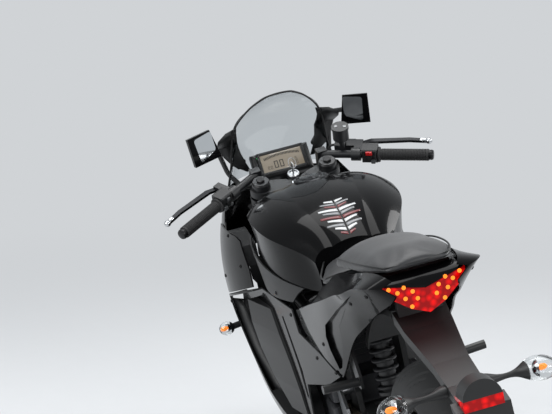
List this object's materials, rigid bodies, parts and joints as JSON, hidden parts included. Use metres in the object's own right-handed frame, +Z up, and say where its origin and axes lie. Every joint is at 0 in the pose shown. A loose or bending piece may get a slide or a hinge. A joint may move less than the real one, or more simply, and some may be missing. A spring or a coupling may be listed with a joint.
{
  "type": "sport bike",
  "caption": "Fully faired road sport bike with clip-on handlebars, a clear screen and a raised passenger seat, leaning on its side stand.",
  "frame": {"origin": "on the ground, under the middle of the whole bike's box as it stands on its side stand", "axes": "+X forward, +Y to the rider's left, the side it leans to, +Z up"},
  "size_m": [2.0861, 0.7605, 1.1011],
  "materials": {
    "tyre": "matt",
    "rim_black": "gloss",
    "disc_steel": "brushed",
    "chain_steel": "oiled",
    "fork_grey": "satin",
    "fork_chrome": "polished",
    "steel": "satin",
    "cast_black": "satin",
    "caliper": "satin",
    "body_black": "high gloss",
    "rubber_black": "matt",
    "matt_plastic": "matt",
    "alloy": "satin",
    "frame_black": "satin",
    "engine_alloy": "cast",
    "exhaust_steel": "heat stained",
    "muffler_black": "satin",
    "radiator_alloy": "matt",
    "shock": "satin",
    "seat_cover": "fine grain",
    "red_lens": "clear red",
    "signal_lens": "clear over amber",
    "clear_lens": "clear"
  },
  "bodies": {
    "chassis": {"chain": "chain_steel", "main_frame": "frame_black", "seat_frame": "frame_black", "engine": "engine_alloy", "exhaust_pipe": "exhaust_steel", "muffler": "muffler_black", "radiator": "radiator_alloy", "swingarm": "frame_black", "rear_caliper": "caliper", "rear_shock": "shock", "foot_rests": "alloy", "passenger_rests": "frame_black", "fuel_tank": "body_black", "tank_trims": "matt_plastic", "rider_seat": "seat_cover", "passenger_seat": "seat_cover", "tail_cowl_left": "body_black", "tail_cowl_right": "body_black", "tail_lamp": "red_lens", "inner_mudguard": "matt_plastic", "plate_carrier": "matt_plastic", "plate_lamp": "matt_plastic", "rear_signals": "signal_lens", "nose_fairing": "body_black", "side_fairing_left": "body_black", "side_fairing_right": "body_black", "belly_pan": "body_black", "headlamps": "clear_lens", "fairing_stay": "matt_plastic", "windscreen": "clear_lens", "dash": "matt_plastic", "mirrors": "matt_plastic", "front_signals": "signal_lens", "inner_panels": "matt_plastic"},
    "steering": {"fork_outer_left": "fork_grey", "fork_lower_left": "fork_chrome", "fork_outer_right": "fork_grey", "fork_lower_right": "fork_chrome", "front_axle": "steel", "lower_yoke": "cast_black", "top_yoke": "cast_black", "stem_nut": "steel", "front_caliper": "caliper", "front_mudguard": "body_black", "clip_ons": "cast_black", "grips": "rubber_black", "switchgear": "matt_plastic", "lever_perches": "cast_black", "levers": "alloy", "brake_hose": "rubber_black"},
    "front_wheel": {"front_tyre": "tyre", "front_rim": "rim_black", "front_disc": "disc_steel"},
    "rear_wheel": {"rear_tyre": "tyre", "rear_rim": "rim_black", "rear_disc": "disc_steel", "rear_sprocket": "chain_steel"},
    "side_stand": {"side_stand": "steel"}
  },
  "joints": [
    {"name": "steering_turn", "type": "hinge", "parent": "chassis", "child": "steering", "pos_m": [0.48696, -0.02215, 0.75091], "axis": [-0.4216, 0.2063, 0.883], "range_deg": [-38.14, 29.86]},
    {"name": "front_wheel_spin", "type": "hinge", "parent": "steering", "child": "front_wheel", "pos_m": [0.75059, -0.12817, 0.28514], "axis": [-0.0655, 0.9643, -0.2565], "continuous": true},
    {"name": "rear_wheel_spin", "type": "hinge", "parent": "chassis", "child": "rear_wheel", "pos_m": [-0.6293, -0.1257, 0.30768], "axis": [0, 0.9738, -0.2275], "continuous": true},
    {"name": "side_stand_fold", "type": "hinge", "parent": "chassis", "child": "side_stand", "pos_m": [0.00059, -0.02591, 0.18098], "axis": [-0.2274, 0.9726, -0.0482], "range_deg": [0, 113.3]}
  ]
}
